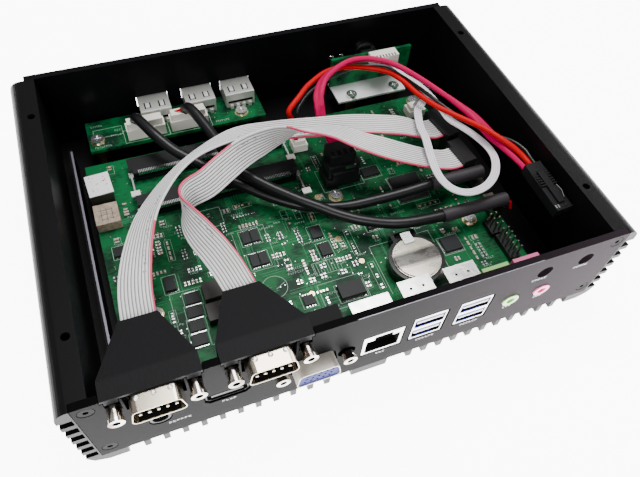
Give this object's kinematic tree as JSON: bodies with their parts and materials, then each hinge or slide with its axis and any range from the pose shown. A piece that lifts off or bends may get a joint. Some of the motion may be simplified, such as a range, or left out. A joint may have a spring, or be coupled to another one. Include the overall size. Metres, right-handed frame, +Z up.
{
  "type": "fanless embedded computer",
  "caption": "Fanless box computer lying bottom-up with its cover off: finned body, front port row, green main board, ribbon leads and internal cables.",
  "frame": {"origin": "centre of the footprint on the resting plane under the heatsink feet", "axes": "+X to the right along the front panel, +Y towards the rear panel, +Z up out of the open side"},
  "size_m": [0.213, 0.1606, 0.0475],
  "materials": {
    "black_anodised": "black anodised, satin",
    "panel_black": "dark grey anodised, fine matte",
    "black_steel": "black oxide",
    "board_green": "green solder mask, semi gloss",
    "brass": "turned",
    "steel": "nickel plated",
    "copper": "milled copper",
    "chip_black": "moulded",
    "socket_black": "moulded",
    "latch_steel": "stamped",
    "cell_steel": "polished",
    "nickel": "warm nickel plate",
    "jackscrew_steel": "nickel plate",
    "video_blue": "moulded",
    "shield_tin": "tin plate",
    "tongue_blue": "moulded",
    "audio_green": "moulded",
    "audio_pink": "moulded",
    "nylon_white": "moulded",
    "button_metal": "brushed",
    "plug_black": "moulded",
    "inductor": "ferrite",
    "tape_black": "wrapped tape",
    "ribbon_grey": "soft ribbed",
    "cable_black": "glossy jacket",
    "sleeve_black": "heat shrink",
    "data_magenta": "soft jacket",
    "wire_red": "jacket",
    "wire_black": "jacket",
    "wire_white": "jacket"
  },
  "bodies": {
    "chassis": {"heatsink_body": "black_anodised", "front_panel": "panel_black", "rear_panel": "black_anodised", "panel_screws": "black_steel", "main_board": "board_green", "board_standoffs": "brass", "board_screws": "steel", "processor": "chip_black", "heat_block": "copper", "memory_socket_1": "socket_black", "memory_socket_2": "socket_black", "battery_holder": "socket_black", "battery_clip": "steel", "coin_cell": "cell_steel", "serial_port_1": "nickel", "serial_port_2": "nickel", "serial_inserts": "socket_black", "jackscrews": "jackscrew_steel", "video_port": "nickel", "video_insert": "video_blue", "display_socket": "socket_black", "dc_jack": "socket_black", "network_port": "shield_tin", "data_port_1": "shield_tin", "data_port_2": "shield_tin", "port_tongues": "tongue_blue", "audio_jack_green": "audio_green", "audio_jack_pink": "audio_pink", "rear_port_board": "board_green", "rear_port_1": "shield_tin", "rear_port_2": "shield_tin", "rear_port_3": "shield_tin", "wafer_headers": "nylon_white", "wafer_plugs": "nylon_white", "button_board": "board_green", "button_bracket": "steel", "power_switch": "socket_black", "drive_socket": "socket_black", "drive_plug": "plug_black", "inductors": "inductor", "board_chips": "chip_black", "pin_headers": "socket_black", "serial_hood_1": "tape_black", "serial_hood_2": "tape_black", "ribbon_cable_1": "ribbon_grey", "ribbon_cable_2": "ribbon_grey", "port_cable_1": "cable_black", "port_cable_2": "cable_black", "cable_sleeves": "sleeve_black", "drive_data_cable": "data_magenta", "power_wire_red": "wire_red", "power_wire_black": "wire_black", "button_cable": "wire_white", "ribbon_sockets": "plug_black", "combo_plug": "plug_black"},
    "memory_latch_1_left": {"memory_latch_1_left": "latch_steel"},
    "memory_latch_1_right": {"memory_latch_1_right": "latch_steel"},
    "memory_latch_2_left": {"memory_latch_2_left": "latch_steel"},
    "memory_latch_2_right": {"memory_latch_2_right": "latch_steel"},
    "power_button": {"power_button": "button_metal"}
  },
  "joints": [
    {"name": "latch_1_left_hinge", "type": "hinge", "parent": "chassis", "child": "memory_latch_1_left", "pos_m": [-0.068, 0.0353, 0.0175], "axis": [0, 0, -1], "range_deg": [0, 12], "stiffness_Nm_per_rad": 0.02},
    {"name": "latch_1_right_hinge", "type": "hinge", "parent": "chassis", "child": "memory_latch_1_right", "pos_m": [0.002, 0.0353, 0.0175], "axis": [0, 0, 1], "range_deg": [0, 12], "stiffness_Nm_per_rad": 0.02},
    {"name": "latch_2_left_hinge", "type": "hinge", "parent": "chassis", "child": "memory_latch_2_left", "pos_m": [-0.068, 0.0143, 0.0175], "axis": [0, 0, -1], "range_deg": [0, 12], "stiffness_Nm_per_rad": 0.02},
    {"name": "latch_2_right_hinge", "type": "hinge", "parent": "chassis", "child": "memory_latch_2_right", "pos_m": [0.002, 0.0143, 0.0175], "axis": [0, 0, 1], "range_deg": [0, 12], "stiffness_Nm_per_rad": 0.02},
    {"name": "power_button_slide", "type": "slide", "parent": "chassis", "child": "power_button", "axis": [0, -1, 0], "range_m": [0, 0.0015], "stiffness_N_per_m": 400}
  ]
}
